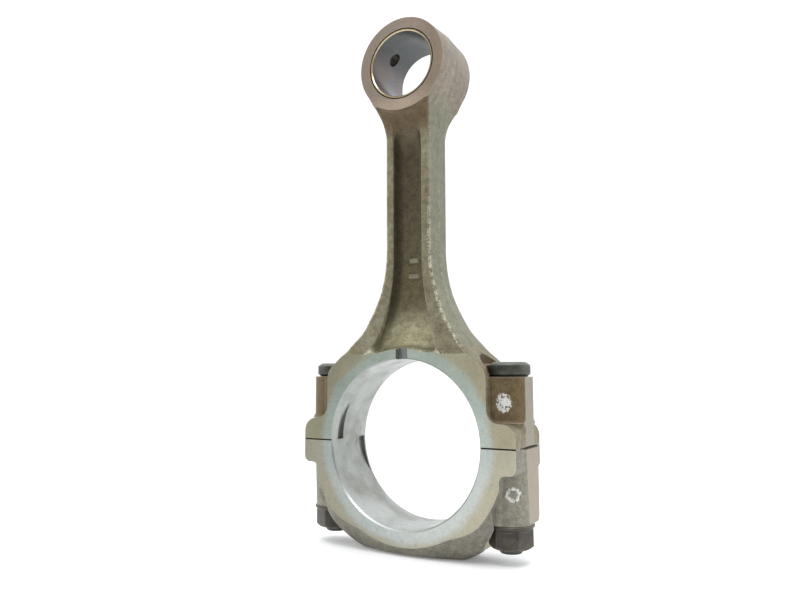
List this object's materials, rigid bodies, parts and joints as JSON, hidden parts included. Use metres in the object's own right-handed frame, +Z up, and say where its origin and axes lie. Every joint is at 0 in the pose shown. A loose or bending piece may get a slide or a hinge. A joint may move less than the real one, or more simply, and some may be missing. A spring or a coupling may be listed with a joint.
{
  "type": "connecting rod",
  "caption": "Forged I-beam connecting rod with a split big end, bolted cap, flange nuts and a bushed small end.",
  "frame": {"origin": "centre of the big-end housing bore, half way between the machined faces", "axes": "+X from the left bolt to the right bolt, +Y along the bores from the front face (with the oil slot) to the back face, +Z up the beam towards the small end"},
  "size_m": [0.1178, 0.0314, 0.2634],
  "materials": {
    "rod_forging": "shot-blasted olive-brown forging scale with machined satin faces",
    "cap_forging": "shot-blasted grey-brown forging scale with machined satin faces",
    "bush_metal": "fine-bored bearing metal, blue-grey bore with a brassy edge",
    "bolt_steel": "dark grey-green phosphated steel",
    "nut_steel": "dark brown-grey phosphated steel"
  },
  "bodies": {
    "rod": {"rod": "rod_forging", "small_end_bush": "bush_metal"},
    "cap": {"cap": "cap_forging"},
    "left_bolt": {"left_bolt": "bolt_steel"},
    "right_bolt": {"right_bolt": "bolt_steel"},
    "left_nut": {"left_nut": "nut_steel"},
    "right_nut": {"right_nut": "nut_steel"}
  },
  "joints": [
    {"name": "cap_off", "type": "slide", "parent": "rod", "child": "cap", "axis": [0, 0, -1], "range_m": [0, 0.06]},
    {"name": "left_bolt_out", "type": "slide", "parent": "rod", "child": "left_bolt", "axis": [0, 0, 1], "range_m": [0, 0.085]},
    {"name": "right_bolt_out", "type": "slide", "parent": "rod", "child": "right_bolt", "axis": [0, 0, 1], "range_m": [0, 0.085]},
    {"name": "left_nut_off", "type": "slide", "parent": "cap", "child": "left_nut", "axis": [0, 0, -1], "range_m": [0, 0.016]},
    {"name": "right_nut_off", "type": "slide", "parent": "cap", "child": "right_nut", "axis": [0, 0, -1], "range_m": [0, 0.016]}
  ]
}
